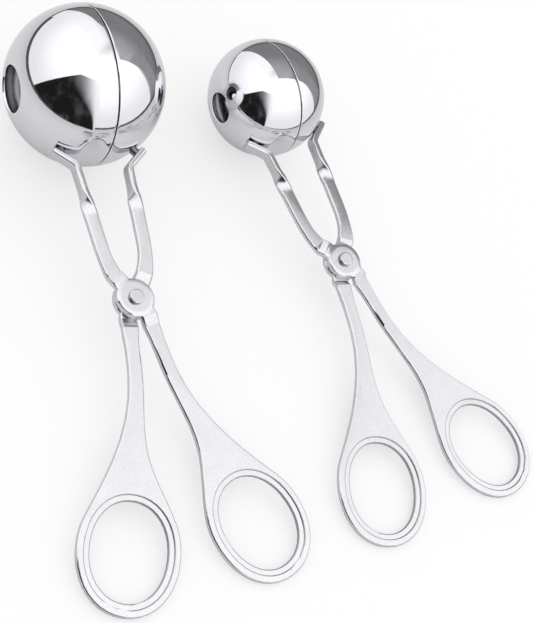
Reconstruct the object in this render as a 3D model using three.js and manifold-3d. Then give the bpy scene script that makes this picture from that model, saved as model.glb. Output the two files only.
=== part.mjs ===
// Meatball tongs: a large and a small pair, closed and lying side by side on a table.
// Each pair is two stamped steel arms that cross at a rivet. An arm ends in a finger loop on one side
// and carries a hemispherical cup on the other, so squeezing the loops closes the cups on a ball.
// Millimetres, +Z up, +Y from the finger loops of the large pair towards its ball.
// An arm is drawn in its own plane: x across, y from the rivet towards the ball, z towards the viewer.

import * as THREE from 'three';
import { mergeVertices } from 'three/addons/utils/BufferGeometryUtils.js';
import Module from 'manifold-3d';

const wasm = await Module();
wasm.setup();

const { degToRad } = THREE.MathUtils;

// Stamped sheet of the arms
const sheet = 2.0;
const edgeChamfer = 0.5;
const stripWidth = 4.0;
const cutOverrun = 1.0;

// Pivot: a disc on each arm, joggled off the arm's plane so that the two discs lie on each other
const discRadius = 5.6;
const discGap = 0.2;
const joggleStart = 6.0;
const joggleEnd = 8.7;
const hubFlare = 1.1;
const flareStart = 6.0;
const flareEnd = 15.0;

// Rivet through both discs, with a low round head on each side
const rivetRadius = 1.4;
const rivetFit = 0.08;
const rivetHeadRadius = 2.1;
const rivetHeadHeight = 0.9;
const rivetHeadRound = 0.35;
const rivetHeadGap = 0.15;

// Finger hole: an oval that leans towards the shank, with a coined step round it on both faces
const loopReach = 66.5;
const loopSide = 19.9;
const holeHalfWidth = 10.8;
const holeHalfLength = 13.3;
const holeLean = degToRad(22.5);
const holeSquareness = 2.1;
const stepWidth = 1.6;
const stepDepth = 0.4;
const rimWidth = 2.0;

// Neck between the shank and the loop: its inner edge bulges, then tucks in to meet the loop
const neckSide = 5.35;
const neckReach = 21.0;
const neckLean = degToRad(11);
const neckOverlap = 1.2;
const bulgeSide = 7.75;
const bulgeReach = 44.0;
const innerShankEase = 9.0;
const bulgeUpperEase = 7.5;
const bulgeLowerEase = 6.5;
const innerLoopEase = 5.5;
const outerLoopEase = 6.0;
const outerShankEase = 19.0;
const innerLoopAngle = degToRad(152);
const outerLoopAngle = degToRad(375);

// Centre line through the rivet, as the reach of the tangents on either side of it
const shankTangentSide = 3.9;
const shankTangentReach = 4.6;
const shankCurveEase = 9.0;
const stripTangentReach = 4.4;
const stripTangentShare = 0.57;
const stripCurveEase = 8.5;
const stripStraightReach = 17.0;
const stripSplay = degToRad(3.3);

// Quarter twist of the strip, then the bend and the tab that lies against the cup
const twistStart = 24.0;
const twistLength = 9.0;
const bendRadius = 2.4;
const tabAngle = degToRad(40);
const tabLength = 7.4;
const weldGap = 0.3;

// Half of the slit between the two closed cups
const seamHalfGap = 0.15;

// Sizes that differ between the two pairs, and where each rivet stands on the table
const largePair = {
  name: 'large',
  cupBoreRadius: 22.2,
  cupWall: 0.8,
  poleHoleRadius: 6.8,
  ballReach: 64.4,
  ballOffset: 2.1,
  frontStripSide: 5.6,
  backStripSide: 7.5,
  handleSpread: degToRad(-0.5),
  tableX: 0,
  tableY: 0,
  heading: 0,
};
const smallPair = {
  name: 'small',
  cupBoreRadius: 17.0,
  cupWall: 0.8,
  poleHoleRadius: 4.8,
  ballReach: 56.1,
  ballOffset: -0.4,
  frontStripSide: 7.5,
  backStripSide: 7.5,
  handleSpread: degToRad(0.3),
  tableX: 71.4,
  tableY: 4.1,
  heading: degToRad(8.6),
};

// Facet counts
const cupSegments = 40;
const cupRows = 7;
const discSegments = 16;
const ovalSegments = 40;
const curveSegments = 9;
const hubSteps = 2;
const joggleSteps = 3;
const runSteps = 8;
const twistSteps = 12;
const bendSteps = 5;
const headSegments = 24;

const armSteel = new THREE.MeshStandardMaterial({ color: 0xc4c6c8, roughness: 0.32, metalness: 1 });
const cupSteel = new THREE.MeshStandardMaterial({ color: 0xd6d8da, roughness: 0.06, metalness: 1 });
const rivetSteel = new THREE.MeshStandardMaterial({ color: 0xcccdcf, roughness: 0.25, metalness: 1 });

const discLevel = (sheet + discGap) / 2;

// Solids

function toSolid(geometry) {
  const bare = geometry.index ? geometry.toNonIndexed() : geometry.clone();
  bare.deleteAttribute('normal');
  bare.deleteAttribute('uv');
  const merged = mergeVertices(bare);
  return new wasm.Manifold(new wasm.Mesh({
    numProp: 3,
    vertProperties: new Float32Array(merged.attributes.position.array),
    triVerts: new Uint32Array(merged.index.array),
  }));
}

function toGeometry(solid) {
  const mesh = solid.getMesh();
  const geometry = new THREE.BufferGeometry();
  geometry.setAttribute('position', new THREE.BufferAttribute(mesh.vertProperties, mesh.numProp));
  geometry.setIndex(new THREE.BufferAttribute(mesh.triVerts, 1));
  geometry.computeVertexNormals();
  return geometry;
}

function shapeOf(points) {
  return new THREE.Shape(points);
}

// A plate of the sheet's thickness with chamfered edges, its middle plane at the given level
function stampedPlate(shape, level, segments) {
  const geometry = new THREE.ExtrudeGeometry(shape, {
    depth: sheet - 2 * edgeChamfer,
    bevelThickness: edgeChamfer,
    bevelSize: edgeChamfer,
    bevelOffset: -edgeChamfer,
    bevelSegments: 1,
    curveSegments: segments,
  });
  geometry.translate(0, 0, level - sheet / 2 + edgeChamfer);
  return geometry;
}

// A straight-walled cutter between two levels
function cutter(shape, low, high, segments) {
  const geometry = new THREE.ExtrudeGeometry(shape, {
    depth: high - low,
    bevelEnabled: false,
    curveSegments: segments,
  });
  geometry.translate(0, 0, low);
  return toSolid(geometry);
}

// Finger loop and neck

// Point of the oval that runs a margin outside the finger hole, at an angle round it
function ovalPoint(angle, margin) {
  const power = 2 / holeSquareness;
  const cosine = Math.cos(angle);
  const sine = Math.sin(angle);
  const across = Math.sign(cosine) * Math.abs(cosine) ** power * (holeHalfWidth + margin);
  const along = Math.sign(sine) * Math.abs(sine) ** power * (holeHalfLength + margin);
  const point = new THREE.Vector2(across, along);
  point.rotateAround(new THREE.Vector2(), holeLean);
  return point.add(new THREE.Vector2(loopSide, -loopReach));
}

function ovalArc(from, to, margin) {
  const count = Math.round(ovalSegments * (to - from) / (2 * Math.PI));
  return Array.from({ length: count + 1 }, (_, i) => ovalPoint(from + (to - from) * i / count, margin));
}

function ovalShape(margin) {
  return shapeOf(ovalArc(0, 2 * Math.PI, margin).slice(0, -1));
}

// Unit tangent of the loop's outline, in the direction of growing angle
function ovalTangent(angle, margin) {
  const step = Math.PI / ovalSegments;
  const ahead = ovalPoint(angle + step, margin);
  return ahead.sub(ovalPoint(angle - step, margin)).normalize();
}

function shankDown() {
  return new THREE.Vector2(Math.sin(neckLean), -Math.cos(neckLean));
}

function neckPoint() {
  return new THREE.Vector2(neckSide, -neckReach);
}

// Outline of neck and loop: down the inner edge, round the loop and up the outer edge
function handleOutline() {
  const down = shankDown();
  const outward = new THREE.Vector2(-down.y, down.x);
  const inner = neckPoint().addScaledVector(outward, -stripWidth / 2);
  const outer = neckPoint().addScaledVector(outward, stripWidth / 2);
  const margin = stepWidth + rimWidth;
  const loop = ovalArc(innerLoopAngle, outerLoopAngle, margin);
  const first = loop[0];
  const last = loop[loop.length - 1];
  const bulge = new THREE.Vector2(bulgeSide, -bulgeReach);
  const shape = new THREE.Shape();
  shape.moveTo(inner.x, inner.y);
  const innerEase = inner.clone().addScaledVector(down, innerShankEase);
  shape.bezierCurveTo(innerEase.x, innerEase.y, bulge.x, bulge.y + bulgeUpperEase, bulge.x, bulge.y);
  const firstEase = ovalTangent(innerLoopAngle, margin).multiplyScalar(-innerLoopEase).add(first);
  shape.bezierCurveTo(bulge.x, bulge.y - bulgeLowerEase, firstEase.x, firstEase.y, first.x, first.y);
  loop.slice(1).forEach((point) => shape.lineTo(point.x, point.y));
  const lastEase = ovalTangent(outerLoopAngle, margin).multiplyScalar(outerLoopEase).add(last);
  const outerEase = outer.clone().addScaledVector(down, outerShankEase);
  shape.bezierCurveTo(lastEase.x, lastEase.y, outerEase.x, outerEase.y, outer.x, outer.y);
  return shape;
}

// How far the loop reaches below the rivet once the handle is spread
function handleEnd(spread) {
  const outline = handleOutline().getPoints(curveSegments);
  const turned = outline.map((point) => point.rotateAround(new THREE.Vector2(), spread).y);
  return -Math.min(...turned);
}

function stepCutter(side) {
  const inner = side * (sheet / 2 - stepDepth);
  const outer = side * (sheet / 2 + cutOverrun);
  return cutter(ovalShape(stepWidth), Math.min(inner, outer), Math.max(inner, outer), curveSegments);
}

function handleSolid() {
  const half = sheet / 2 + cutOverrun;
  return toSolid(stampedPlate(handleOutline(), 0, curveSegments))
    .subtract(cutter(ovalShape(0), -half, half, curveSegments))
    .subtract(stepCutter(1))
    .subtract(stepCutter(-1));
}

// Formed strip: shank, joggles, curve, twist, bend and tab in one run

// Height of the centre line at a distance from the rivet: the disc's level, then down to the arm's plane
function levelAt(distance) {
  return discLevel * (1 - THREE.MathUtils.smoothstep(distance, joggleStart, joggleEnd));
}

// Width of the run at a distance from the rivet: it flares to run into the disc
function widthAt(distance) {
  return stripWidth + hubFlare * (1 - THREE.MathUtils.smoothstep(distance, flareStart, flareEnd));
}

function station(point, twist = 0) {
  return { point: new THREE.Vector3(point.x, point.y, 0), twist, width: stripWidth };
}

function shankCurve() {
  const end = neckPoint();
  const endEase = end.clone().addScaledVector(shankDown(), -shankCurveEase);
  const rivetEase = new THREE.Vector2(shankTangentSide, -shankTangentReach);
  return new THREE.CubicBezierCurve(new THREE.Vector2(), rivetEase, endEase, end);
}

function stripDirection() {
  return new THREE.Vector2(-Math.sin(stripSplay), Math.cos(stripSplay));
}

function stripCurve(side) {
  const end = new THREE.Vector2(-side, stripStraightReach);
  const endEase = end.clone().addScaledVector(stripDirection(), -stripCurveEase);
  const rivetEase = new THREE.Vector2(-side * stripTangentShare, stripTangentReach);
  return new THREE.CubicBezierCurve(new THREE.Vector2(), rivetEase, endEase, end);
}

function evenly(from, to, steps) {
  return Array.from({ length: steps }, (_, i) => from + (to - from) * (i + 1) / steps);
}

// Stations from the rivet outwards along a curve: over the disc, down the joggle and along the run
function curveStations(curve) {
  const length = curve.getLength();
  const distances = [
    ...evenly(0, joggleStart, hubSteps),
    ...evenly(joggleStart, joggleEnd, joggleSteps),
    ...evenly(joggleEnd, length, runSteps),
  ];
  return distances.map((distance) => {
    const { x, y } = curve.getPointAt(Math.min(1, distance / length));
    return { point: new THREE.Vector3(x, y, levelAt(distance)), twist: 0, width: widthAt(distance) };
  });
}

// Where the strip's line meets the tab's line, which touches the ball at the tab angle
function bendCorner(start, pair, ballX) {
  const along = stripDirection();
  const normal = new THREE.Vector2(-Math.sin(tabAngle), -Math.cos(tabAngle));
  const reach = pair.cupBoreRadius + pair.cupWall + weldGap + sheet / 2;
  const centre = new THREE.Vector2(ballX, pair.ballReach);
  const toLine = reach - start.clone().sub(centre).dot(normal);
  return start.clone().addScaledVector(along, toLine / along.dot(normal));
}

function bendStations(corner) {
  const turn = Math.PI / 2 - tabAngle - stripSplay;
  const along = stripDirection();
  const tangentLength = bendRadius * Math.tan(turn / 2);
  const start = corner.clone().addScaledVector(along, -tangentLength);
  const centre = start.clone().add(new THREE.Vector2(-along.y, along.x).multiplyScalar(bendRadius));
  const arc = Array.from({ length: bendSteps + 1 }, (_, i) => {
    const point = start.clone().rotateAround(centre, turn * i / bendSteps);
    return station(point, Math.PI / 2);
  });
  const tabDirection = along.clone().rotateAround(new THREE.Vector2(), turn);
  arc.push(station(corner.clone().addScaledVector(tabDirection, tabLength), Math.PI / 2));
  return arc;
}

function twistStations(start) {
  const along = stripDirection();
  return Array.from({ length: twistSteps + 1 }, (_, i) => {
    const share = i / twistSteps;
    const distance = (twistStart - stripStraightReach + twistLength * share) / along.y;
    const twist = THREE.MathUtils.smoothstep(share, 0, 1) * Math.PI / 2;
    return station(start.clone().addScaledVector(along, distance), twist);
  });
}

function armStations(pair, side, ballX) {
  const strip = stripCurve(side);
  const corner = bendCorner(strip.v3, pair, ballX);
  const shank = [...curveStations(shankCurve()).reverse(), station(new THREE.Vector2())];
  const foot = station(neckPoint().addScaledVector(shankDown(), neckOverlap));
  const axis = new THREE.Vector3(0, 0, 1);
  [foot, ...shank].forEach(({ point }) => point.applyAxisAngle(axis, pair.handleSpread));
  const hub = shank[shank.length - 1];
  hub.point.z = levelAt(0);
  hub.width = widthAt(0);
  return [
    foot,
    ...shank,
    ...curveStations(strip),
    ...twistStations(strip.v3),
    ...bendStations(corner),
  ];
}

function stripSection() {
  const halfWidth = stripWidth / 2;
  const halfSheet = sheet / 2;
  const corners = [[1, 1], [-1, 1], [-1, -1], [1, -1]];
  const points = corners.flatMap(([x, y]) => {
    const flat = new THREE.Vector2(x * (halfWidth - edgeChamfer), y * halfSheet);
    const wall = new THREE.Vector2(x * halfWidth, y * (halfSheet - edgeChamfer));
    return x * y > 0 ? [wall, flat] : [flat, wall];
  });
  return shapeOf(points);
}

// Direction of the run at a station: half-way between the steps before and after it
function runDirection(stations, i) {
  const direction = new THREE.Vector3();
  const here = stations[i].point;
  if (i > 0) direction.add(here.clone().sub(stations[i - 1].point).normalize());
  if (i < stations.length - 1) direction.add(stations[i + 1].point.clone().sub(here).normalize());
  return direction.normalize();
}

// A straight bar of the strip's section, laid along the stations with their twist
function formedStrip(stations) {
  const frames = stations.map(({ point, twist, width }, i) => {
    const along = runDirection(stations, i);
    const up = new THREE.Vector3(0, 0, 1);
    const face = up.addScaledVector(along, -along.z).normalize().applyAxisAngle(along, -twist);
    const across = new THREE.Vector3().crossVectors(face, along);
    return { point, face, across, widening: (width - stripWidth) / 2 };
  });
  const steps = stations.length - 1;
  const bar = new THREE.ExtrudeGeometry(stripSection(), { depth: steps, steps, bevelEnabled: false });
  const position = bar.attributes.position;
  for (let i = 0; i < position.count; i++) {
    const frame = frames[Math.round(position.getZ(i))];
    const placed = frame.point.clone();
    const x = position.getX(i);
    placed.addScaledVector(frame.across, x + Math.sign(x) * frame.widening);
    placed.addScaledVector(frame.face, position.getY(i));
    position.setXYZ(i, placed.x, placed.y, placed.z);
  }
  return bar;
}

function circleShape(radius) {
  return new THREE.Shape().absarc(0, 0, radius, 0, 2 * Math.PI);
}

// One arm with its loop on the +x side and its cup on the -x side
function armSolid(pair, side, ballX) {
  const strip = toSolid(formedStrip(armStations(pair, side, ballX)));
  const disc = toSolid(stampedPlate(circleShape(discRadius), discLevel, discSegments));
  const handle = handleSolid().rotate(0, 0, THREE.MathUtils.radToDeg(pair.handleSpread));
  const rivetHole = cutter(
    circleShape(rivetRadius + rivetFit),
    discLevel - sheet / 2 - cutOverrun,
    discLevel + sheet / 2 + cutOverrun,
    headSegments,
  );
  return strip.add(disc).subtract(rivetHole).add(handle);
}

// Cups and rivet

function arcPoints(radius, lowHeight, highRadius, rows) {
  const from = Math.asin(lowHeight / radius);
  const to = Math.acos(highRadius / radius);
  return Array.from({ length: rows + 1 }, (_, i) => {
    const angle = from + (to - from) * i / rows;
    return new THREE.Vector2(radius * Math.cos(angle), radius * Math.sin(angle));
  });
}

// A hemispherical shell whose mouth is at the seam and whose pole has a round hole
function cupGeometry(pair) {
  const outer = arcPoints(pair.cupBoreRadius + pair.cupWall, seamHalfGap, pair.poleHoleRadius, cupRows);
  const inner = arcPoints(pair.cupBoreRadius, seamHalfGap, pair.poleHoleRadius, cupRows).reverse();
  return new THREE.LatheGeometry([...outer, ...inner, outer[0].clone()], cupSegments);
}

function rivetGeometry() {
  const headFoot = discLevel + sheet / 2 + rivetHeadGap;
  const headTop = headFoot + rivetHeadHeight;
  const half = [
    new THREE.Vector2(rivetRadius, headFoot),
    new THREE.Vector2(rivetHeadRadius, headFoot),
    new THREE.Vector2(rivetHeadRadius, headTop - rivetHeadRound),
    new THREE.Vector2(rivetHeadRadius - rivetHeadRound, headTop),
    new THREE.Vector2(0, headTop),
  ];
  const mirrored = half.map((point) => new THREE.Vector2(point.x, -point.y)).reverse();
  return new THREE.LatheGeometry([...mirrored, ...half], headSegments);
}

// Assembly

function piece(name, geometry, material) {
  const mesh = new THREE.Mesh(geometry, material.clone());
  mesh.name = name;
  return mesh;
}

function cup(pair, name, side) {
  const mesh = piece(`${pair.name}_${name}`, cupGeometry(pair), cupSteel);
  mesh.rotation.z = -side * Math.PI / 2;
  mesh.position.set(pair.ballOffset, pair.ballReach, 0);
  return mesh;
}

// How far the closed pair tips back when its ball and its two loops stand on the table
function restingTilt(pair) {
  const ballRadius = pair.cupBoreRadius + pair.cupWall;
  const span = pair.ballReach + handleEnd(pair.handleSpread);
  return Math.asin(ballRadius / Math.hypot(span, sheet / 2)) - Math.atan2(sheet / 2, span);
}

function tongs(pair) {
  const plane = new THREE.Group();
  const front = armSolid(pair, pair.frontStripSide, pair.ballOffset);
  const back = armSolid(pair, pair.backStripSide, -pair.ballOffset);
  const frontArm = piece(`${pair.name}_front_arm`, toGeometry(front), armSteel);
  const backArm = piece(`${pair.name}_back_arm`, toGeometry(back), armSteel);
  backArm.rotation.y = Math.PI;
  const rivet = piece(`${pair.name}_rivet`, rivetGeometry(), rivetSteel);
  rivet.rotation.x = Math.PI / 2;
  plane.add(frontArm, backArm, rivet, cup(pair, 'left_cup', -1), cup(pair, 'right_cup', 1));
  const tilt = restingTilt(pair);
  plane.rotation.x = tilt;
  plane.position.z = pair.cupBoreRadius + pair.cupWall - pair.ballReach * Math.sin(tilt);
  const standing = new THREE.Group();
  standing.add(plane);
  standing.rotation.z = pair.heading;
  standing.position.set(pair.tableX, pair.tableY, 0);
  return standing;
}

// The origin is the middle of the foot of the box round both pairs
function centred(group) {
  group.updateMatrixWorld(true);
  const box = new THREE.Box3().setFromObject(group, true);
  const middle = box.getCenter(new THREE.Vector3());
  group.position.set(-middle.x, -middle.y, -box.min.z);
  return group;
}

const set = new THREE.Group();
set.add(tongs(largePair), tongs(smallPair));
centred(set);

export default set;
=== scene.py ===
"""Looks of a set of two meatball tongs: polished cups and satin arms on a pale table in a white tent."""

import logging
import math
from dataclasses import dataclass, field
from enum import Enum

import bpy
from mathutils import Matrix, Vector


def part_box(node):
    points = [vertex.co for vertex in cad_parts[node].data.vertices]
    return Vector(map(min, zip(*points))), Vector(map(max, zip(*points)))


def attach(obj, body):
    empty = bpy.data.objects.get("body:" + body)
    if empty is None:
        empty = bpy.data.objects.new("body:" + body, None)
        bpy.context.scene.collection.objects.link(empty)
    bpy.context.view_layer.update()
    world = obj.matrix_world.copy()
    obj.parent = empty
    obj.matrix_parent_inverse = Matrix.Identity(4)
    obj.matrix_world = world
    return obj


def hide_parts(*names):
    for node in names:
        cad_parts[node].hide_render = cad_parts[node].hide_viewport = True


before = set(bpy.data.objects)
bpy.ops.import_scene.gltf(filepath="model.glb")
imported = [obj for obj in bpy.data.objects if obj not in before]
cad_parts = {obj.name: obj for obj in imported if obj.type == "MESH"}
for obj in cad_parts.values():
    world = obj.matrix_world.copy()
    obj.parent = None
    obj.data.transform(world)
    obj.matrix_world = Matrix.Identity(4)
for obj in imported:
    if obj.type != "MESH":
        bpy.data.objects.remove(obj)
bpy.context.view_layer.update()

LOG = logging.getLogger("meatball_tongs")
MM = 0.001
WHITE = (1.0, 1.0, 1.0, 1.0)


class Slot(Enum):
    """The record's material slots."""

    ARM = "arm_steel"
    CUP = "cup_steel"
    RIVET = "rivet_steel"


class Side(Enum):
    """The two halves of a pair, as they lie left and right of the ball's seam."""

    LEFT = -1
    RIGHT = 1


# ---------------------------------------------------------------- shader tools


class Shade:
    """A socket of a material's node tree, on which Python's own operators add Math nodes."""

    def __init__(self, shop: "Nodes", socket: bpy.types.NodeSocket | None) -> None:
        """Wraps one output socket of a node, or None for a node that has none."""
        self.shop = shop
        self.socket = socket

    def _math(self, operation: str, *values: "Shade | float") -> "Shade":
        """Adds one Math node with its inputs in order, and returns its result."""
        return self.shop.add("ShaderNodeMath", {"operation": operation}, dict(enumerate(values)))

    def __add__(self, other: "Shade | float") -> "Shade":
        """self + other."""
        return self._math("ADD", self, other)

    __radd__ = __add__

    def __sub__(self, other: "Shade | float") -> "Shade":
        """self - other."""
        return self._math("SUBTRACT", self, other)

    def __rsub__(self, other: "Shade | float") -> "Shade":
        """other - self."""
        return self._math("SUBTRACT", other, self)

    def __mul__(self, other: "Shade | float") -> "Shade":
        """self * other."""
        return self._math("MULTIPLY", self, other)

    __rmul__ = __mul__

    def __truediv__(self, other: "Shade | float") -> "Shade":
        """self / other."""
        return self._math("DIVIDE", self, other)

    def most(self, other: "Shade | float") -> "Shade":
        """The larger of the two."""
        return self._math("MAXIMUM", self, other)

    def turn_from(self, other: "Shade | float") -> "Shade":
        """The angle in radians whose tangent is self / other."""
        return self._math("ARCTAN2", self, other)

    def step(self, low: float, high: float, start: float = 0.0, end: float = 1.0) -> "Shade":
        """A smooth step between two values.

        Args:
            low: where the step starts.
            high: where it ends.
            start: the result at low and before.
            end: the result at high and after.

        Returns:
            The stepped value.
        """
        return self.shop.add(
            "ShaderNodeMapRange",
            {"interpolation_type": "SMOOTHSTEP"},
            {"Value": self, "From Min": low, "From Max": high, "To Min": start, "To Max": end},
        )


class Nodes:
    """Makes the nodes of one material or of the world."""

    def __init__(self, tree: bpy.types.NodeTree) -> None:
        """Empties the node tree that is to be filled."""
        self.tree = tree
        tree.nodes.clear()

    def add(
        self,
        kind: str,
        settings: dict[str, object] | None = None,
        values: dict[str | int, object] | None = None,
        output: str | int = 0,
    ) -> Shade:
        """Adds any node.

        Args:
            kind: the node's type.
            settings: properties of the node, set first.
            values: numbers, colours or links for its input sockets, by name or number.
            output: the output socket that is returned.

        Returns:
            The chosen output.
        """
        node = self.tree.nodes.new(kind)
        for name, value in (settings or {}).items():
            setattr(node, name, value)
        for name, value in (values or {}).items():
            socket = node.inputs[name]
            if isinstance(value, Shade):
                self.tree.links.new(value.socket, socket)
            else:
                socket.default_value = value
        return Shade(self, node.outputs[output] if node.outputs else None)

    def object_place(self) -> Shade:
        """The Object coordinates."""
        return self.add("ShaderNodeTexCoord", output="Object")

    def along(self, place: Shade, axis: str) -> Shade:
        """One coordinate of a place: its X, Y or Z."""
        return self.add("ShaderNodeSeparateXYZ", {}, {"Vector": place}, output=axis)

    def vector(self, operation: str, first: object, second: object = None, output: str = "Vector") -> Shade:
        """Adds one Vector Math node with one input or two, and returns an output."""
        values = {0: first} if second is None else {0: first, 1: second}
        return self.add("ShaderNodeVectorMath", {"operation": operation}, values, output=output)

    def grain(self, place: Shade, stretch: tuple[float, float, float], turn: float = 0.0) -> Shade:
        """A fine noise that can be drawn out along one way, as polishing or brushing leaves it.

        Args:
            place: the coordinates.
            stretch: how many grains there are in a metre along x, y and z.
            turn: the angle in radians by which the pattern is turned about z.

        Returns:
            The noise, from 0 to 1.
        """
        laid = self.add(
            "ShaderNodeMapping",
            {"vector_type": "POINT"},
            {"Vector": place, "Rotation": (0.0, 0.0, turn), "Scale": stretch},
        )
        return self.add("ShaderNodeTexNoise", {}, {"Vector": laid, "Scale": 1.0, "Detail": 3.0})

    def grey(self, value: Shade | float, tint: tuple[float, float, float]) -> Shade:
        """A tint made lighter or darker: the colour times the value."""
        return self.add("ShaderNodeVectorMath", {"operation": "SCALE"}, {0: tint, "Scale": value})


def new_material(name: str) -> tuple[bpy.types.Material, Nodes]:
    """Makes an empty node material.

    Args:
        name: the material's name.

    Returns:
        The material and its node maker.
    """
    material = bpy.data.materials.new(name)
    material.use_nodes = True
    return material, Nodes(material.node_tree)


# ---------------------------------------------------------------- finishes


@dataclass(frozen=True)
class SteelFinish:
    """One finish of stainless steel: how light and smooth it is, and the marks that its polishing leaves."""

    name: str
    tint: tuple[float, float, float]
    roughness: float
    roughness_spread: float
    grain_across: float
    grain_along: float
    grain_height: float
    cloud_size: float
    cloud_share: float
    grain_turn: float = 0.0
    line_share: float = 0.10
    dome_start: float = 4.1 * MM
    dome_end: float = 5.7 * MM
    dome_drop: float = 0.16 * MM

    def dome(self, nodes: Nodes, place: Shade, hubs: list[tuple[Vector, Vector]]) -> Shade:
        """How far the hub discs rise above their rims, which makes the rims look rounded.

        Args:
            nodes: the material's node maker.
            place: the coordinates.
            hubs: each hub's middle and its axis.

        Returns:
            The height in metres, 0 from the rims outwards.
        """
        height: Shade | None = None
        for middle_point, axis in hubs:
            reach = nodes.vector("SUBTRACT", place, middle_point)
            turned = nodes.vector("CROSS_PRODUCT", reach, axis)
            out = nodes.vector("LENGTH", turned, output="Value")
            rim = out.step(self.dome_start, self.dome_end, self.dome_drop, 0.0)
            height = rim if height is None else height + rim
        return height

    def material(self, hubs: list[tuple[Vector, Vector]] | None = None) -> bpy.types.Material:
        """Builds the finish.

        Args:
            hubs: the middle and the axis of each hub whose disc is domed.

        Returns:
            The material.
        """
        material, nodes = new_material(self.name)
        place = nodes.object_place()
        lines = nodes.grain(
            place, (1 / self.grain_across, 1 / self.grain_along, 1 / self.grain_across), self.grain_turn
        )
        clouds = nodes.grain(place, (1 / self.cloud_size,) * 3)
        shade = 1 - (clouds - 0.5) * self.cloud_share - (lines - 0.5) * self.line_share
        colour = nodes.grey(shade, self.tint)
        roughness = self.roughness + (lines - 0.5) * self.roughness_spread
        roughness = roughness + (clouds - 0.5) * self.roughness_spread
        height = lines * self.grain_height
        if hubs:
            height = height + self.dome(nodes, place, hubs)
        relief = nodes.add("ShaderNodeBump", {}, {"Height": height, "Distance": 1.0, "Strength": 1.0})
        surface = nodes.add(
            "ShaderNodeBsdfPrincipled",
            {},
            {"Base Color": colour, "Metallic": 1.0, "Roughness": roughness, "Normal": relief},
        )
        nodes.add("ShaderNodeOutputMaterial", {}, {"Surface": surface})
        return material


POLISHED_CUP = SteelFinish(
    name="polished_cup_steel",
    tint=(0.80, 0.80, 0.835),
    roughness=0.045,
    roughness_spread=0.02,
    grain_across=0.0004,
    grain_along=0.0016,
    grain_height=0.0000015,
    cloud_size=0.012,
    cloud_share=0.03,
)
# Darker and rougher than the outside of the cup.
DARK_BORE = SteelFinish(
    name="dark_bore_steel",
    tint=(0.50, 0.50, 0.525),
    roughness=0.12,
    roughness_spread=0.06,
    grain_across=0.0005,
    grain_along=0.0030,
    grain_height=0.000010,
    cloud_size=0.008,
    cloud_share=0.10,
)
SATIN_ARM = SteelFinish(
    name="satin_arm_steel",
    tint=(0.69, 0.69, 0.72),
    roughness=0.18,
    roughness_spread=0.05,
    grain_across=0.00026,
    grain_along=0.0007,
    grain_height=0.000006,
    cloud_size=0.005,
    cloud_share=0.10,
    line_share=0.26,
)
SHEARED_EDGE = SteelFinish(
    name="sheared_edge_steel",
    tint=(0.72, 0.72, 0.755),
    roughness=0.34,
    roughness_spread=0.08,
    grain_across=0.0012,
    grain_along=0.0003,
    grain_height=0.000006,
    cloud_size=0.004,
    cloud_share=0.10,
)
# Painted shade: a dark tint on the step round the finger loop and on the finger hole's edge, as if shade lay
# in the corner.
SHADED_STEP_CORNER = SteelFinish(
    name="painted_shade_step_steel",
    tint=(0.42, 0.42, 0.44),
    roughness=0.36,
    roughness_spread=0.08,
    grain_across=0.0005,
    grain_along=0.0020,
    grain_height=0.000004,
    cloud_size=0.006,
    cloud_share=0.14,
)
TURNED_RIVET = SteelFinish(
    name="turned_rivet_steel",
    tint=(0.66, 0.66, 0.69),
    roughness=0.16,
    roughness_spread=0.03,
    grain_across=0.0003,
    grain_along=0.0006,
    grain_turn=0.4,
    grain_height=0.000002,
    cloud_size=0.003,
    cloud_share=0.04,
)
# Painted shade: a dark tint on the sides of the rivet and of the weld barrels, as if shadow lay under the
# heads and between tab and ball.
SHADED_SIDE = SteelFinish(
    name="painted_shade_side_steel",
    tint=(0.24, 0.24, 0.25),
    roughness=0.30,
    roughness_spread=0.06,
    grain_across=0.0002,
    grain_along=0.0020,
    grain_height=0.000003,
    cloud_size=0.003,
    cloud_share=0.10,
)


# ---------------------------------------------------------------- mesh tools


def middle(*nodes: str) -> Vector:
    """The middle of the box round some CAD nodes.

    Args:
        nodes: the nodes' names.

    Returns:
        The box's middle.
    """
    corners = [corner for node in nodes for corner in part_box(node)]
    low = Vector([min(corner[k] for corner in corners) for k in range(3)])
    high = Vector([max(corner[k] for corner in corners) for k in range(3)])
    return (low + high) / 2


def deselect_all() -> None:
    """Leaves nothing selected and no object in edit mode."""
    if bpy.context.object and bpy.context.object.mode != "OBJECT":
        bpy.ops.object.mode_set(mode="OBJECT")
    bpy.ops.object.select_all(action="DESELECT")


def make_active(piece: bpy.types.Object) -> None:
    """Selects one object alone and makes it the active one.

    Args:
        piece: the object.
    """
    deselect_all()
    piece.select_set(True)
    bpy.context.view_layer.objects.active = piece


def bake_place(piece: bpy.types.Object) -> None:
    """Puts the object's place, turn and scale into its mesh."""
    make_active(piece)
    bpy.ops.object.transform_apply(location=True, rotation=True, scale=True)


def apply_modifier(piece: bpy.types.Object, kind: str, **settings: object) -> None:
    """Adds one modifier, sets it and applies it.

    Args:
        piece: the object.
        kind: the modifier's type.
        settings: its properties.
    """
    make_active(piece)
    modifier = piece.modifiers.new(kind.title(), kind)
    for name, value in settings.items():
        setattr(modifier, name, value)
    bpy.ops.object.modifier_apply(modifier=modifier.name)


def cut_away(piece: bpy.types.Object, point: Vector, normal: Vector, inner: bool) -> None:
    """Cuts a mesh at a plane and drops one side.

    Args:
        piece: the object, with its place in its mesh.
        point: a point on the plane.
        normal: the plane's normal.
        inner: True drops the side that the normal points away from, False the other one.
    """
    make_active(piece)
    bpy.ops.object.mode_set(mode="EDIT")
    bpy.ops.mesh.select_all(action="SELECT")
    bpy.ops.mesh.bisect(plane_co=point, plane_no=normal, clear_inner=inner, clear_outer=not inner)
    bpy.ops.object.mode_set(mode="OBJECT")


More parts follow.
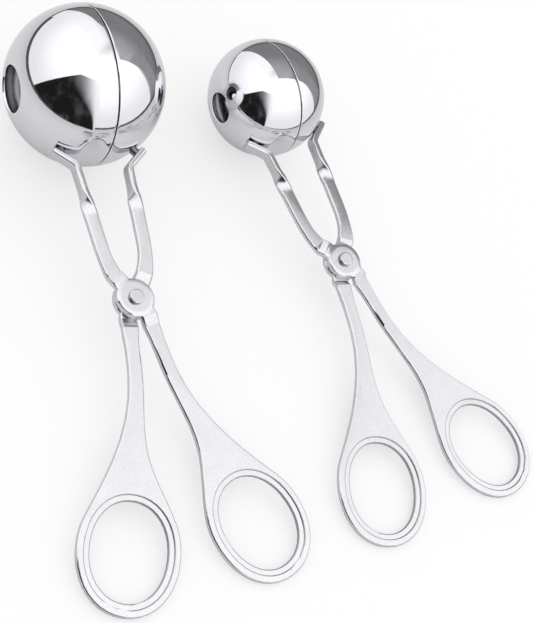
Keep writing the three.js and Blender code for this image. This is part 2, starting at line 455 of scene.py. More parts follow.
def pick(piece: bpy.types.Object, kind: str, numbers: list[int]) -> None:
    """Selects some corners, edges or faces of a mesh and nothing else, and leaves it in edit mode.

    Args:
        piece: the object.
        kind: VERT, EDGE or FACE.
        numbers: the numbers of what is selected.
    """
    make_active(piece)
    bpy.ops.object.mode_set(mode="EDIT")
    bpy.ops.mesh.select_mode(type=kind)
    bpy.ops.mesh.select_all(action="DESELECT")
    bpy.ops.object.mode_set(mode="OBJECT")
    parts = {"VERT": piece.data.vertices, "EDGE": piece.data.edges, "FACE": piece.data.polygons}[kind]
    for number in numbers:
        parts[number].select = True
    bpy.ops.object.mode_set(mode="EDIT")


def round_edges(piece: bpy.types.Object, width: float, segments: int, angle: float) -> None:
    """Rounds every edge of a mesh that is sharper than an angle.

    Args:
        piece: the object.
        width: how far the rounding reaches.
        segments: its steps.
        angle: the angle in degrees.
    """
    apply_modifier(
        piece,
        "BEVEL",
        width=width,
        segments=segments,
        limit_method="ANGLE",
        angle_limit=math.radians(angle),
        use_clamp_overlap=True,
    )


def even_out(piece: bpy.types.Object) -> None:
    """Lets the large faces of a mesh lead its shading, so that they stay flat beside rounded edges."""
    apply_modifier(piece, "WEIGHTED_NORMAL", keep_sharp=True, weight=50, mode="FACE_AREA")


def sides_of_edges(piece: bpy.types.Object) -> dict[tuple[int, int], list[bpy.types.MeshPolygon]]:
    """Lists the faces on both sides of each edge of a mesh.

    Args:
        piece: the object.

    Returns:
        The faces by the edge's two vertex numbers, the lower one first.
    """
    faces: dict[tuple[int, int], list[bpy.types.MeshPolygon]] = {}
    for polygon in piece.data.polygons:
        for key in polygon.edge_keys:
            faces.setdefault(key, []).append(polygon)
    return faces


def smooth(piece: bpy.types.Object, angle: float) -> None:
    """Shades a mesh smooth up to an angle between its faces, in degrees."""
    make_active(piece)
    bpy.ops.object.shade_smooth_by_angle(angle=math.radians(angle))


def dress(piece: bpy.types.Object, material: bpy.types.Material, body: str) -> None:
    """Gives a piece its finish all over and the body that it moves with.

    Args:
        piece: the object.
        material: its finish.
        body: the CAD body.
    """
    piece.data.materials.clear()
    piece.data.materials.append(material)
    for polygon in piece.data.polygons:
        polygon.material_index = 0
    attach(piece, body)


def shade_side(piece: bpy.types.Object, axis: Vector, side_shade_steel: bpy.types.Material) -> None:
    """Gives the side of a round dressed piece a finish of its own, which paints shade on it.

    Args:
        piece: the object.
        axis: its axis.
        side_shade_steel: the dark finish of its side, painted shade.
    """
    piece.data.materials.append(side_shade_steel)
    for polygon in piece.data.polygons:
        if abs(polygon.normal.dot(axis)) < 0.5:
            polygon.material_index = 1


# ---------------------------------------------------------------- cups


@dataclass
class Cup:
    """One half of a ball: a thin polished half-shell with a round drain hole at its pole."""

    pair: str
    side: Side
    centre: Vector
    radius: float
    wall: float
    hole_radius: float
    heading: float
    seam_half_gap: float
    body: str
    rim_round: float = 0.16 * MM
    sharp_angle: float = 50.0
    smooth_angle: float = 40.0
    segments: int = 144
    rings: int = 96

    @property
    def pole(self) -> Vector:
        """The direction from the ball's centre to this cup's pole."""
        turn = math.radians(self.heading)
        return Vector((math.cos(turn), math.sin(turn), 0.0)) * self.side.value

    def shell(self) -> bpy.types.Object:
        """Makes the half-shell: a ball cut at the seam and the hole, walled inwards, with rounded edges.

        Returns:
            The half-shell.
        """
        deselect_all()
        upright = Vector((0.0, 0.0, 1.0)).rotation_difference(self.pole)
        bpy.ops.mesh.primitive_uv_sphere_add(
            segments=self.segments,
            ring_count=self.rings,
            radius=self.radius,
            location=self.centre,
            rotation=upright.to_euler(),
        )
        shell = bpy.context.object
        bake_place(shell)
        cut_away(shell, self.centre + self.pole * self.seam_half_gap, self.pole, inner=True)
        reach = math.sqrt(self.radius**2 - self.hole_radius**2)
        cut_away(shell, self.centre + self.pole * reach, self.pole, inner=False)
        apply_modifier(shell, "SOLIDIFY", thickness=self.wall, offset=-1.0, use_even_offset=True)
        round_edges(shell, self.rim_round, 3, self.sharp_angle)
        smooth(shell, self.smooth_angle)
        return shell

    def line(self, cup: bpy.types.Object, inside: bpy.types.Material) -> None:
        """Gives the faces of the bore their darker, rougher finish.

        Args:
            cup: the dressed cup.
            inside: the finish of the bore.
        """
        cup.data.materials.append(inside)
        for polygon in cup.data.polygons:
            outward = (polygon.center - self.centre).normalized()
            if polygon.normal.dot(outward) < -0.5:
                polygon.material_index = 1

    def build(self, steel: bpy.types.Material, inside: bpy.types.Material) -> bpy.types.Object:
        """Builds the cup and lets it stand for the CAD one.

        Args:
            steel: the cup's finish.
            inside: the finish of its bore.

        Returns:
            The cup.
        """
        node = f"{self.pair}_{self.side.name.lower()}_cup"
        cup = self.shell()
        cup.name = f"polished_{node}"
        dress(cup, steel, self.body)
        self.line(cup, inside)
        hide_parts(node)
        return cup


# ---------------------------------------------------------------- arms


@dataclass(frozen=True)
class Joggle:
    """How the middle sections of an arm's joggles move, which makes their slopes flat.

    A move names the levels of its corners, in millimetres over the hub's middle plane, and says how far they
    go outwards and up. The skew turns the creases of the joggle that leads to the cup.
    """

    moves: tuple[tuple[tuple[float, ...], float, float], ...]
    skew: float = 0.0


LONG_JOGGLE = Joggle(
    moves=(
        ((1.73, 1.27), 0.0, -0.08 * MM),
        ((0.36, -0.10), 0.0, -0.08 * MM),
        ((1.20, 0.74), 0.0, 0.08 * MM),
        ((-0.17, -0.63), 0.0, 0.08 * MM),
    ),
)
SHORT_MOVES = (
    ((1.73, 1.27), -0.52 * MM, 0.35 * MM),
    ((0.36, -0.10), -0.38 * MM, 0.22 * MM),
    ((1.20, 0.74), 0.18 * MM, -0.22 * MM),
    ((-0.17, -0.63), 0.32 * MM, -0.35 * MM),
)
SHORT_JOGGLE = Joggle(moves=SHORT_MOVES)
SKEW_JOGGLE = Joggle(moves=SHORT_MOVES, skew=0.24)


@dataclass
class Arm:
    """One arm: a stamped finger loop, a hub disc and a strip that bends round to the tab on its cup.

    Levels are in millimetres over the hub's middle plane, angles in degrees and other lengths in metres.
    What ends in upright or facing is the cosine between a face's normal and the axis or the tab's way.
    """

    node: str
    body: str
    hub: Vector
    axis: Vector
    tab_way: Vector
    level_way: int
    joggle: Joggle
    joggle_span: float = 3.3 * MM
    first_reach: float = 5.8 * MM
    middle_reach: float = 6.3 * MM
    last_reach: float = 8.0 * MM
    first_level: float = 2.09
    last_level: float = 0.99
    level_slack: float = 0.03
    crease_span: tuple[float, float] = (5.75 * MM, 9.4 * MM)
    crease_upright: float = 0.60
    crease_bend: tuple[float, float] = (9.0, 50.0)
    merge_distance: float = 0.01 * MM
    flat_angle: float = 0.6
    flat_upright: float = 0.99
    square_upright: float = 0.05
    wall_upright: float = 0.3
    step_round: float = 0.32 * MM
    tab_round: float = 0.45 * MM
    tab_facing: float = 0.97
    loop_reach: float = 30.0 * MM
    smooth_angle: float = 50.0
    wall_reach: float = 23.0 * MM
    step_faces: set[int] = field(default_factory=set)

    def height(self, point: Vector) -> float:
        """How far a point lies from the hub's middle plane, counted towards this arm's own disc."""
        return (point - self.hub).dot(self.axis) * self.level_way

    def flat(self, way: Vector) -> Vector:
        """The share of a direction that lies in the hub's plane."""
        return way - self.axis * way.dot(self.axis)

    def upright(self, face: bpy.types.MeshPolygon) -> float:
        """How squarely a face looks along the hub's axis: 1 for the disc's faces, 0 for its wall."""
        return abs(face.normal.dot(self.axis))

    def section(
        self, arm: bpy.types.Object, near: float, way: int, heights: tuple[float, ...]
    ) -> list[int]:
        """Finds the corners of one section of the joggle.

        Args:
            arm: the arm, with its double corners merged.
            near: the least distance of such corners from the hub's axis.
            way: 1 for the joggle towards the cup, -1 for the one towards the finger loop.
            heights: the corners' heights, in millimetres.

        Returns:
            The numbers of the vertices.
        """
        found = []
        for vertex in arm.data.vertices:
            flat = self.flat(vertex.co - self.hub)
            if near < flat.length < near + self.joggle_span and flat.y * way > 0:
                rise = self.height(vertex.co) / MM
                if any(abs(rise - height) < self.level_slack for height in heights):
                    found.append(vertex.index)
        return found

    @staticmethod
    def shift(arm: bpy.types.Object, numbers: list[int], offset: Vector) -> None:
        """Moves some vertices.

        Args:
            arm: the arm.
            numbers: the vertices' numbers.
            offset: the way they go.
        """
        pick(arm, "VERT", numbers)
        bpy.ops.transform.translate(value=offset)
        bpy.ops.object.mode_set(mode="OBJECT")

    def press_joggles(self, arm: bpy.types.Object) -> None:
        """Moves the middle sections of both joggles apart, so that each is a flat slope between two creases.

        Args:
            arm: the arm, with its double corners merged.
        """
        up = self.axis * self.level_way
        for way in (1, -1):
            first = self.section(arm, self.first_reach, way, (self.first_level,))
            last = self.section(arm, self.last_reach, way, (self.last_level,))
            if not first or not last:
                LOG.warning("%s: no joggle found", self.node)
                continue
            start, end = (
                sum((arm.data.vertices[n].co for n in group), Vector()) / len(group)
                for group in (first, last)
            )
            run = self.flat(end - start).normalized()
            across = self.axis.cross(run)
            for heights, along, rise in self.joggle.moves:
                for number in self.section(arm, self.middle_reach, way, heights):
                    beside = (arm.data.vertices[number].co - start).dot(across)
                    skew = self.joggle.skew * beside if way > 0 else 0.0
                    self.shift(arm, [number], run * (along - skew) + up * rise)

    def sharp_edges(self, arm: bpy.types.Object) -> list[int]:
        """Finds the outward edges of the loop's step and finger hole.

        Args:
            arm: the arm, with its flat faces merged.

        Returns:
            The numbers of the edges.
        """
        faces = sides_of_edges(arm)
        found = []
        for edge in arm.data.edges:
            sides = faces.get(tuple(sorted(edge.vertices)), [])
            if len(sides) != 2:
                continue
            flat, wall = sorted(sides, key=lambda face: -self.upright(face))
            square = self.upright(flat) > self.flat_upright and self.upright(wall) < self.square_upright
            ends = [arm.data.vertices[number].co for number in edge.vertices]
            between = (ends[0] + ends[1]) / 2
            outward = (wall.center - between).dot(flat.normal) < 0
            if square and outward and (self.hub - between).y > self.loop_reach:
                found.append(edge.index)
        return found

    def round_steps(self, arm: bpy.types.Object) -> None:
        """Rounds the outward edges of the loop's step and finger hole.

        Args:
            arm: the arm, with its flat faces merged.
        """
        pick(arm, "EDGE", self.sharp_edges(arm))
        bpy.ops.mesh.bevel(
            offset=self.step_round, offset_type="OFFSET", segments=3, affect="EDGES", clamp_overlap=False
        )
        bpy.ops.object.mode_set(mode="OBJECT")
        self.step_faces = {polygon.index for polygon in arm.data.polygons if polygon.select}

    def crease_joggles(self, arm: bpy.types.Object) -> None:
        """Keeps the creases of the joggles crisp.

        Args:
            arm: the arm, shaded smooth.
        """
        faces = sides_of_edges(arm)
        attributes = arm.data.attributes
        sharp = attributes.get("sharp_edge") or attributes.new("sharp_edge", "BOOLEAN", "EDGE")
        near, far = self.crease_span
        least, most = self.crease_bend
        for edge in arm.data.edges:
            sides = faces.get(tuple(sorted(edge.vertices)), [])
            flat = self.flat(arm.data.vertices[edge.vertices[0]].co - self.hub)
            if len(sides) == 2 and near < flat.length < far:
                level = all(self.upright(face) > self.crease_upright for face in sides)
                bend = math.degrees(sides[0].normal.angle(sides[1].normal))
                if level and least < bend < most:
                    sharp.data[edge.index].value = True

    def round_tab(self, arm: bpy.types.Object) -> None:
        """Rounds the end of the tab.

        Args:
            arm: the arm, with its flat faces merged.
        """
        ends = [face for face in arm.data.polygons if face.normal.dot(self.tab_way) > self.tab_facing]
        end = max(ends, key=lambda face: (face.center - self.hub).length)
        pick(arm, "FACE", [end.index])
        bpy.ops.mesh.bevel(
            offset=self.tab_round, offset_type="OFFSET", segments=3, affect="EDGES", clamp_overlap=True
        )
        bpy.ops.object.mode_set(mode="OBJECT")

    def soften(self, arm: bpy.types.Object) -> None:
        """Merges the solid's triangles, presses its joggles flat and rounds the tab and the loop's step.

        Args:
            arm: the arm.
        """
        make_active(arm)
        bpy.ops.object.mode_set(mode="EDIT")
        bpy.ops.mesh.select_all(action="SELECT")
        bpy.ops.mesh.remove_doubles(threshold=self.merge_distance)
        bpy.ops.object.mode_set(mode="OBJECT")
        self.press_joggles(arm)
        make_active(arm)
        bpy.ops.object.mode_set(mode="EDIT")
        bpy.ops.mesh.select_all(action="SELECT")
        bpy.ops.mesh.dissolve_limited(angle_limit=math.radians(self.flat_angle))
        bpy.ops.object.mode_set(mode="OBJECT")
        self.round_tab(arm)
        self.round_steps(arm)
        smooth(arm, self.smooth_angle)
        self.crease_joggles(arm)
        even_out(arm)

    def dull_walls_shade_steps(
        self, arm: bpy.types.Object, edge_steel: bpy.types.Material, corner_shade_steel: bpy.types.Material
    ) -> None:
        """Gives the sheared walls their duller finish, and paints shade on the corners of the loop's step and
        finger hole.

        Args:
            arm: the dressed arm.
            edge_steel: the finish of the walls of the loop, the hub and the strip.
            corner_shade_steel: the painted shade on the step's and the finger hole's edges, a dark rough
                finish.
        """
        arm.data.materials.append(edge_steel)
        arm.data.materials.append(corner_shade_steel)
        corners = {number for face in self.step_faces for number in arm.data.polygons[face].vertices}
        for polygon in arm.data.polygons:
            reach = polygon.center - self.hub
            flat_part = reach.y < 0 or reach.length < self.wall_reach
            wall = self.upright(polygon) < self.wall_upright
            if flat_part and wall:
                polygon.material_index = 1
            # The step's rounded faces, and the walls beside them, get painted shade.
            beside_step = len(corners.intersection(polygon.vertices)) > 1
            if polygon.index in self.step_faces or (beside_step and wall):
                polygon.material_index = 2

    def build(
        self, steel: bpy.types.Material, edge_steel: bpy.types.Material, corner_shade_steel: bpy.types.Material
    ) -> bpy.types.Object:
        """Copies the CAD arm, softens it and dresses it.

        Args:
            steel: the arm's finish.
            edge_steel: the finish of its sheared walls.
            corner_shade_steel: the painted shade on the loop's step, a dark rough finish.

        Returns:
            The arm.
        """
        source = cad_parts[self.node]
        arm = bpy.data.objects.new(f"stamped_{self.node}", source.data.copy())
        bpy.context.scene.collection.objects.link(arm)
        self.soften(arm)
        dress(arm, steel, self.body)
        self.dull_walls_shade_steps(arm, edge_steel, corner_shade_steel)
        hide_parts(self.node)
        return arm


# ---------------------------------------------------------------- rivets


@dataclass
class Rivet:
    """The turned rivet of a pair: a shank through both hubs, with a low rounded head on each side."""

    pair: str
    body: str
    centre: Vector
    axis: Vector
    shank_radius: float = 1.34 * MM
    head_radius: float = 2.1 * MM
    head_height: float = 0.9 * MM
    half_grip: float = 2.25 * MM
    head_round: float = 0.36 * MM
    sharp_angle: float = 50.0
    smooth_angle: float = 60.0
    segments: int = 64

    def spindle(self) -> bpy.types.Object:
        """Makes the rivet upright: the shank's cylinder, with a head grown from each end face.

        Returns:
            The rivet, upright at the origin.
        """
        deselect_all()
        bpy.ops.mesh.primitive_cylinder_add(
            vertices=self.segments, radius=self.shank_radius, depth=2 * self.half_grip
        )
        spindle = bpy.context.object
        wide = self.head_radius / self.shank_radius
        for way in (1.0, -1.0):
            end = max(spindle.data.polygons, key=lambda face: face.center.z * way)
            pick(spindle, "FACE", [end.index])
            bpy.ops.mesh.extrude_region_move()
            bpy.ops.transform.resize(value=(wide, wide, 1.0))
            bpy.ops.mesh.extrude_region_move(
                TRANSFORM_OT_translate={"value": (0.0, 0.0, way * self.head_height)}
            )
            bpy.ops.object.mode_set(mode="OBJECT")
        return spindle

    def build(self, steel: bpy.types.Material, side_shade_steel: bpy.types.Material) -> bpy.types.Object:
        """Builds the rivet in its place and lets it stand for the CAD one.

        Args:
            steel: the finish of the heads' tops.
            side_shade_steel: the dark finish of the turned sides, painted shade for the shadow under the
                heads.

        Returns:
            The rivet.
        """
        rivet = self.spindle()
        rivet.name = f"turned_{self.pair}_rivet"
        round_edges(rivet, self.head_round, 4, self.sharp_angle)
        rivet.rotation_euler = Vector((0.0, 0.0, 1.0)).rotation_difference(self.axis).to_euler()
        rivet.location = self.centre
        bake_place(rivet)
        smooth(rivet, self.smooth_angle)
        even_out(rivet)
        dress(rivet, steel, self.body)
        # The rivet's sides get painted shade.
        shade_side(rivet, self.axis, side_shade_steel)
        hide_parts(f"{self.pair}_rivet")
        return rivet


# ---------------------------------------------------------------- weld spots


@dataclass
class WeldSpot:
    """The spot weld between a tab and its cup, with the electrode's dished mark on the tab's outside."""

    name: str
    body: str
    foot: Vector
    outward: Vector
    sunk: float
    radius: float = 1.25 * MM
    proud: float = 2.35 * MM
    dish: float = 0.12 * MM
    dish_share: float = 0.3
    edge_round: float = 0.05 * MM
    sharp_angle: float = 30.0
    smooth_angle: float = 50.0
    segments: int = 32

    def build(self, steel: bpy.types.Material, side_shade_steel: bpy.types.Material) -> bpy.types.Object:
        """Builds the weld from the ball's surface through the tab.

        Args:
            steel: the finish of the dished mark.
            side_shade_steel: the dark finish of the molten barrel between the tab and the ball, painted shade
                for the shadow in that gap.

        Returns:
            The weld.
        """
        deselect_all()
        depth = self.proud + self.sunk
        bpy.ops.mesh.primitive_cylinder_add(vertices=self.segments, radius=self.radius, depth=depth)
        spot = bpy.context.object
        spot.name = self.name
        top = max(spot.data.polygons, key=lambda face: face.center.z)
        pick(spot, "FACE", [top.index])
        bpy.ops.mesh.inset(thickness=self.radius * self.dish_share)
        bpy.ops.transform.translate(value=(0.0, 0.0, -self.dish))
        bpy.ops.object.mode_set(mode="OBJECT")
        round_edges(spot, self.edge_round, 2, self.sharp_angle)
        spot.rotation_euler = Vector((0.0, 0.0, 1.0)).rotation_difference(self.outward).to_euler()
        spot.location = self.foot + self.outward * (depth / 2 - self.sunk)
        bake_place(spot)
        smooth(spot, self.smooth_angle)
        dress(spot, steel, self.body)
        # The weld's barrel gets painted shade.
        shade_side(spot, self.outward, side_shade_steel)
        return spot


# ---------------------------------------------------------------- a pair of tongs


@dataclass(frozen=True)
class Steels:
    """The finishes of all the pieces."""

    cup: bpy.types.Material
    inside: bpy.types.Material
    arm: bpy.types.Material
    edge: bpy.types.Material
    # corner is the painted shade on the loop's step.
    corner: bpy.types.Material
    rivet: bpy.types.Material
    # rivet_side_shade is the painted shade on the sides of the rivets and the welds.
    rivet_side_shade: bpy.types.Material


@dataclass(frozen=True)
class TabSeat:
    """Where a tab is welded: the ball's way to it, how far back from the nearest point, and how deep."""

    outward: Vector
    back: float
    sunk: float


@dataclass
class Tongs:
    """One pair: two arms on a rivet, each with its half of the ball. The heading is in degrees."""

    pair: str
    centre: Vector
    bore_radius: float
    wall: float
    hole_radius: float
    heading: float
    rivet_centre: Vector
    hub_axis: Vector
    seats: dict[Side, TabSeat]
    joggles: dict[Side, Joggle]
    seam_half_gap: float = 0.19 * MM

    def build(self, steels: Steels) -> list[bpy.types.Object]:
        """Builds every piece of the pair.

        Args:
            steels: the finishes.

        Returns:
            The pieces.
        """
        pieces = []
        for side in Side:
            body = f"{self.pair}_{'front' if side is Side.LEFT else 'back'}"
            cup = Cup(
                pair=self.pair,
                side=side,
                centre=self.centre,
                radius=self.bore_radius + self.wall,
                wall=self.wall,
                hole_radius=self.hole_radius,
                heading=self.heading,
                seam_half_gap=self.seam_half_gap,
                body=body,
            )
            pieces.append(cup.build(steels.cup, steels.inside))
            seat = self.seats[side]
            outward = seat.outward.normalized()
            along = outward.cross(self.hub_axis).normalized() * side.value
            arm = Arm(
                node=f"{body}_arm",
                body=body,
                hub=self.rivet_centre,
                axis=self.hub_axis.normalized(),
                tab_way=-along,
                level_way=-side.value,
                joggle=self.joggles[side],
            )
            pieces.append(arm.build(steels.arm, steels.edge, steels.corner))
            weld = WeldSpot(
                name=f"weld_{self.pair}_{side.name.lower()}",
                body=body,
                foot=self.centre + outward * (self.bore_radius + self.wall) + along * seat.back,
                outward=outward,
                sunk=seat.sunk,
            )
            pieces.append(weld.build(steels.arm, steels.rivet_side_shade))
        rivet = Rivet(self.pair, f"{self.pair}_back", self.rivet_centre, self.hub_axis.normalized())
        pieces.append(rivet.build(steels.rivet, steels.rivet_side_shade))
        return pieces


# ---------------------------------------------------------------- studio


@dataclass
class Studio:
    """A pale table in a white tent, the camera, and the cards that only polished steel mirrors.

    Lengths are in metres, strengths of light are shares of a full white, and a pair of numbers that a
    smooth step runs between is called a span.
    """

    table_centre: Vector = Vector((-0.033, 0.036, 0.0))
    table_radius: float = 0.235
    table_span: tuple[float, float] = (0.06, 0.19)
    table_grey: float = 0.81
    table_edge_grey: float = 0.68
    table_lift: float = 0.55
    table_grains: tuple[float, float, float] = (600.0, 600.0, 600.0)
    table_grain_share: float = 0.02
    tent_span: tuple[float, float] = (0.0, 0.85)
    tent_top: float = 1.28
    tent_low: float = 0.90
    gap_way: tuple[float, float, float] = (0.45, 0.35, 0.822)
    gap_span: tuple[float, float] = (0.93, 0.985)
    gap_shade: float = 0.32
    gleam_span: tuple[float, float] = (0.945, 0.90)
    gleam: float = 0.08
    horizon: tuple[float, float] = (-0.089, -0.080)
    horizon_dark: float = 0.10
    gap_rise_span: tuple[float, float] = (0.0, 0.06)
    gap_low: float = 0.27
    gap_high: float = 0.33
    gap_corner_span: tuple[float, float] = (0.05, 0.11)
    gap_corner_rise: tuple[float, float] = (0.115, 0.145)
    gap_corner_light: float = 0.17
    gap_far_span: tuple[float, float] = (0.09, 0.16)
    gap_far_shade: float = 0.09
    gap_folds: tuple[float, float, float] = (9.0, 9.0, 2.0)
    gap_fold_depth: float = 0.12
    fringe_rise_span: tuple[float, float] = (0.0, 0.20)
    fringe_low: float = 0.97
    fringe_clear: float = 1.20
    fringe_dark: float = 0.50
    fringe_top_span: tuple[float, float] = (0.175, 0.25)
    fringe_top_lean: tuple[float, float, float] = (0.03, 0.11, 0.055)
    fringe_side_span: tuple[float, float] = (-0.045, 0.025)
    fringe_side_lean: tuple[float, float, float] = (0.08, 0.14, 0.04)
    opening_edge: tuple[float, float, float] = (-0.08, -0.90, 3.0)
    opening_blur: tuple[float, float, float] = (0.030, 0.05, 12.0)
    opening_dark: float = 0.012
    opening_things: float = 0.07
    opening_things_span: tuple[float, float] = (0.45, 0.8)
    opening_grains: tuple[float, float, float] = (7.0, 7.0, 7.0)
    opening_clear: float = 0.90
    opening_clear_rise: float = 1.30
    seen_from: tuple[float, float] = (-0.039, 0.062)
    eye: Vector = Vector((-0.21239, -0.15291, 0.34781))
    right_way: Vector = Vector((0.8564, -0.3265, 0.3999))
    up_way: Vector = Vector((0.1253, 0.8829, 0.4526))
    back_way: Vector = Vector((-0.5008, -0.3375, 0.7970))
    focal: float = 85.35
    sensor: float = 36.0
    clip: tuple[float, float] = (0.01, 20.0)

    def camera(self) -> None:
        """Sets up the camera at the photograph's viewing angle."""
        deselect_all()
        bpy.ops.object.camera_add(location=self.eye)
        camera = bpy.context.object
        camera.name = "camera"
        ways = (self.right_way, self.up_way, self.back_way)
        camera.matrix_world = Matrix.Translation(self.eye) @ Matrix(ways).transposed().to_4x4()
        camera.data.lens = self.focal
        camera.data.sensor_width = self.sensor
        camera.data.clip_start, camera.data.clip_end = self.clip
        bpy.context.scene.camera = camera

    def world(self) -> None:
        """Makes the tent: bright overhead, softer low down and beside the gap, dark below the horizon."""
        world = bpy.data.worlds.new("white_tent")
        bpy.context.scene.world = world
        world.use_nodes = True
        nodes = Nodes(world.node_tree)
        way = nodes.add("ShaderNodeTexCoord", output="Generated")
        height = nodes.along(way, "Z")
        beside_gap = nodes.vector("DOT_PRODUCT", way, self.gap_way, output="Value")
        wall = self.tent_low + height.step(*self.tent_span) * (self.tent_top - self.tent_low)
        wall = wall - beside_gap.step(*self.gap_span) * self.gap_shade
        wall = wall + beside_gap.step(*self.gleam_span) * self.gleam
        rise = height.step(*self.horizon)
        glossy = self.horizon_dark + rise * (wall - self.horizon_dark)
        path = nodes.add("ShaderNodeLightPath", output="Is Glossy Ray")
        strength = 1.0 + path * (glossy - 1.0)
        light = nodes.add("ShaderNodeBackground", {}, {"Color": WHITE, "Strength": strength})
        nodes.add("ShaderNodeOutputWorld", {}, {"Surface": light})

    def table(self) -> None:
        """Makes the table: a round matt top, darker far out, which the camera sees white with its shadows."""
        deselect_all()
        bpy.ops.mesh.primitive_circle_add(
            vertices=128, radius=self.table_radius, fill_type="NGON", location=self.table_centre
        )
        table = bpy.context.object
        table.name = "table"
        material, nodes = new_material("pale_table")
        place = nodes.object_place()
        speckle = nodes.grain(place, self.table_grains)
        out = nodes.vector("LENGTH", place, output="Value")
        grey = out.step(*self.table_span, self.table_grey, self.table_edge_grey)
        seen = nodes.add("ShaderNodeLightPath", output="Is Camera Ray")
        shown = grey + seen * (1.0 - grey)
        colour = nodes.grey(shown * (1 - (speckle - 0.5) * self.table_grain_share), (1.0, 1.0, 1.0))
        matt = nodes.add("ShaderNodeBsdfDiffuse", {}, {"Color": colour})
        white = nodes.add("ShaderNodeEmission", {}, {"Color": WHITE, "Strength": 1.0})
        surface = nodes.add("ShaderNodeMixShader", {}, {0: seen * self.table_lift, 1: matt, 2: white})
        nodes.add("ShaderNodeOutputMaterial", {}, {"Surface": surface})
        table.data.materials.append(material)

    @staticmethod
    def card(
        name: str, outline: list[tuple[float, float, float]], apex: tuple[float, float, float]
    ) -> Nodes:
        """Makes a card that only polished steel sees, with an empty material.

        Args:
            name: the card's name.
            outline: the corners of its edge, in millimetres.
            apex: the corner that closes it behind the tent, in millimetres.

        Returns:
            The node maker of its material.
        """
        points = [Vector(p) * MM for p in outline] + [Vector(apex) * MM]
        last = len(points) - 1
        mesh = bpy.data.meshes.new(name)
        mesh.from_pydata(points, [], [(i, i + 1, last) for i in range(last - 1)])
        card = bpy.data.objects.new(name, mesh)
        bpy.context.scene.collection.objects.link(card)
        material, nodes = new_material(name)
        mesh.materials.append(material)
        for flag in ("camera", "diffuse", "shadow", "transmission", "volume_scatter"):
            setattr(card, f"visible_{flag}", False)
        return nodes

    @staticmethod
    def glow(nodes: Nodes, strength: Shade) -> None:
        """Ends a card's material in a light of a given strength."""
        light = nodes.add("ShaderNodeEmission", {}, {"Color": WHITE, "Strength": strength})
        nodes.add("ShaderNodeOutputMaterial", {}, {"Surface": light})

    def gap_card(self) -> None:
        """Hangs the grey gap between two walls of the tent, lighter at its near upper corner."""
        outline = [
            (-1, 368, -5), (5, 188, 117), (17, 56, 139), (85, 53, 162), (267, 36, 168),
            (549, -47, 85), (549, -122, -20),
        ]
        nodes = self.card("tent_gap", outline, (609, 498, -40))
        place = nodes.object_place()
        height = nodes.along(place, "Z")
        across = nodes.along(place, "X")
        along = nodes.along(place, "Y")
        folds = nodes.grain(place, self.gap_folds)
        corner = across.step(*self.gap_corner_span, self.gap_corner_light, 0.0)
        corner = corner * height.step(*self.gap_corner_rise)
        dip = height.step(*self.gap_rise_span, self.gap_low, self.gap_high) + corner
        dip = dip - along.step(*self.gap_far_span) * self.gap_far_shade
        self.glow(nodes, dip + (folds - 0.5) * self.gap_fold_depth)

    def gap_fringe(self) -> None:
        """Hangs the half-lit fringe behind the gap, which fades into the tent upwards and sideways."""
        outline = [
            (-62, 378, -5), (-52, 204, 170), (-40, 72, 215), (85, 70, 285), (277, 50, 300),
            (575, -40, 200), (575, -122, -20),
        ]
        nodes = self.card("tent_gap_fringe", outline, (635, 520, -40))
        place = nodes.object_place()
        height = nodes.along(place, "Z")
        across = nodes.along(place, "X")
        near, far, lean = self.fringe_top_lean
        level = height - across.step(near, far) * lean
        along = nodes.along(place, "Y")
        near, far, lean = self.fringe_side_lean
        side = across - along.step(near, far) * lean
        shade = (1 - level.step(*self.fringe_top_span)) * side.step(*self.fringe_side_span)
        clear = height.step(*self.fringe_rise_span, self.fringe_low, self.fringe_clear)
        self.glow(nodes, clear - shade * (clear - self.fringe_dark))

    def opening_card(self) -> None:
        """Hangs the dark opening that the camera looks through, soft at its upper corner."""
        outline = [
            (-53, -141, -5), (-55, -132, 140), (-50, -79, 250), (-201, -35, 327),
            (-426, -4, 285), (-486, 107, -5), (-441, -402, -20),
        ]
        nodes = self.card("camera_opening", outline, (-461, -422, -30))
        place = nodes.object_place()
        height = nodes.along(place, "Z")
        across = nodes.along(place, "X") - self.seen_from[0]
        along = nodes.along(place, "Y") - self.seen_from[1]
        turn = across.turn_from(0 - along)
        foot, slope, bow = self.opening_edge
        edge = foot + height * slope + height * height * bow
        foot, slope, bow = self.opening_blur
        width = foot + height.most(0.0) * slope + height * height * bow
        things = nodes.grain(place, self.opening_grains)
        inner = self.opening_dark + things.step(*self.opening_things_span) * self.opening_things
        soft = ((edge - turn) / width).step(0.0, 1.0)
        clear = self.opening_clear + height.most(0.0) * self.opening_clear_rise
        self.glow(nodes, clear - soft * (clear - inner))

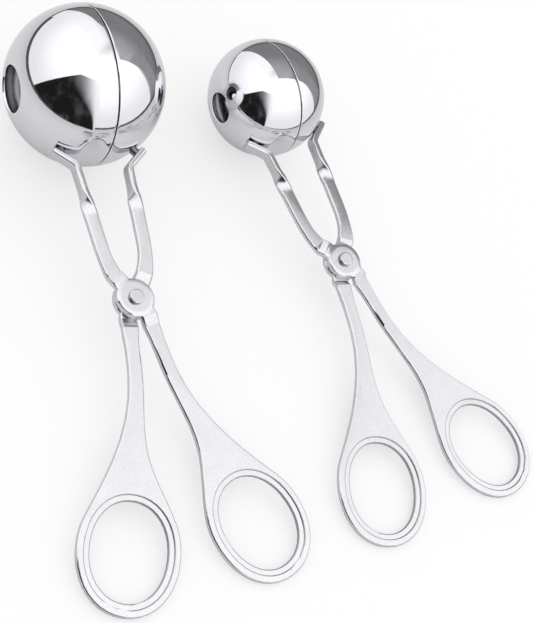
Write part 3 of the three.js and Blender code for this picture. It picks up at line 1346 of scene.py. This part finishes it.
    def build(self) -> None:
        """Sets up the camera, the tent, the table and the cards."""
        self.camera()
        self.world()
        self.table()
        self.gap_card()
        self.gap_fringe()
        self.opening_card()


def main() -> None:
    """Builds both pairs and the studio."""
    logging.basicConfig(level=logging.INFO, format="%(name)s: %(message)s")
    bpy.context.scene.view_settings.view_transform = "Standard"
    large_axis = Vector((0.0, -0.148944, 0.988846))
    small_axis = Vector((0.018057, -0.119396, 0.992682))
    hubs = [(middle("large_rivet"), large_axis), (middle("small_rivet"), small_axis)]
    steels = Steels(
        cup=POLISHED_CUP.material(),
        inside=DARK_BORE.material(),
        arm=SATIN_ARM.material(hubs),
        edge=SHEARED_EDGE.material(),
        corner=SHADED_STEP_CORNER.material(),
        rivet=TURNED_RIVET.material(),
        rivet_side_shade=SHADED_SIDE.material(),
    )
    large = Tongs(
        pair="large",
        centre=middle("large_left_cup", "large_right_cup"),
        bore_radius=22.2 * MM,
        wall=0.8 * MM,
        hole_radius=6.8 * MM,
        heading=0.0,
        rivet_centre=middle("large_rivet"),
        hub_axis=large_axis,
        seats={
            Side.LEFT: TabSeat(Vector((-0.643, -0.757, -0.114)), 3.0 * MM, 0.48 * MM),
            Side.RIGHT: TabSeat(Vector((0.643, -0.757, -0.114)), 6.1 * MM, 1.22 * MM),
        },
        joggles={Side.LEFT: LONG_JOGGLE, Side.RIGHT: LONG_JOGGLE},
    )
    small = Tongs(
        pair="small",
        centre=middle("small_left_cup", "small_right_cup"),
        bore_radius=17.0 * MM,
        wall=0.8 * MM,
        hole_radius=4.8 * MM,
        heading=8.6,
        rivet_centre=middle("small_rivet"),
        hub_axis=small_axis,
        seats={
            Side.LEFT: TabSeat(Vector((-0.522, -0.848, -0.092)), 0.2 * MM, 0.30 * MM),
            Side.RIGHT: TabSeat(Vector((0.749, -0.656, -0.092)), -0.5 * MM, 0.30 * MM),
        },
        joggles={Side.LEFT: SKEW_JOGGLE, Side.RIGHT: SHORT_JOGGLE},
    )
    for pair in (large, small):
        for piece in pair.build(steels):
            LOG.info("%s: %d faces", piece.name, len(piece.data.polygons))
    Studio().build()


if __name__ == "__main__":
    main()
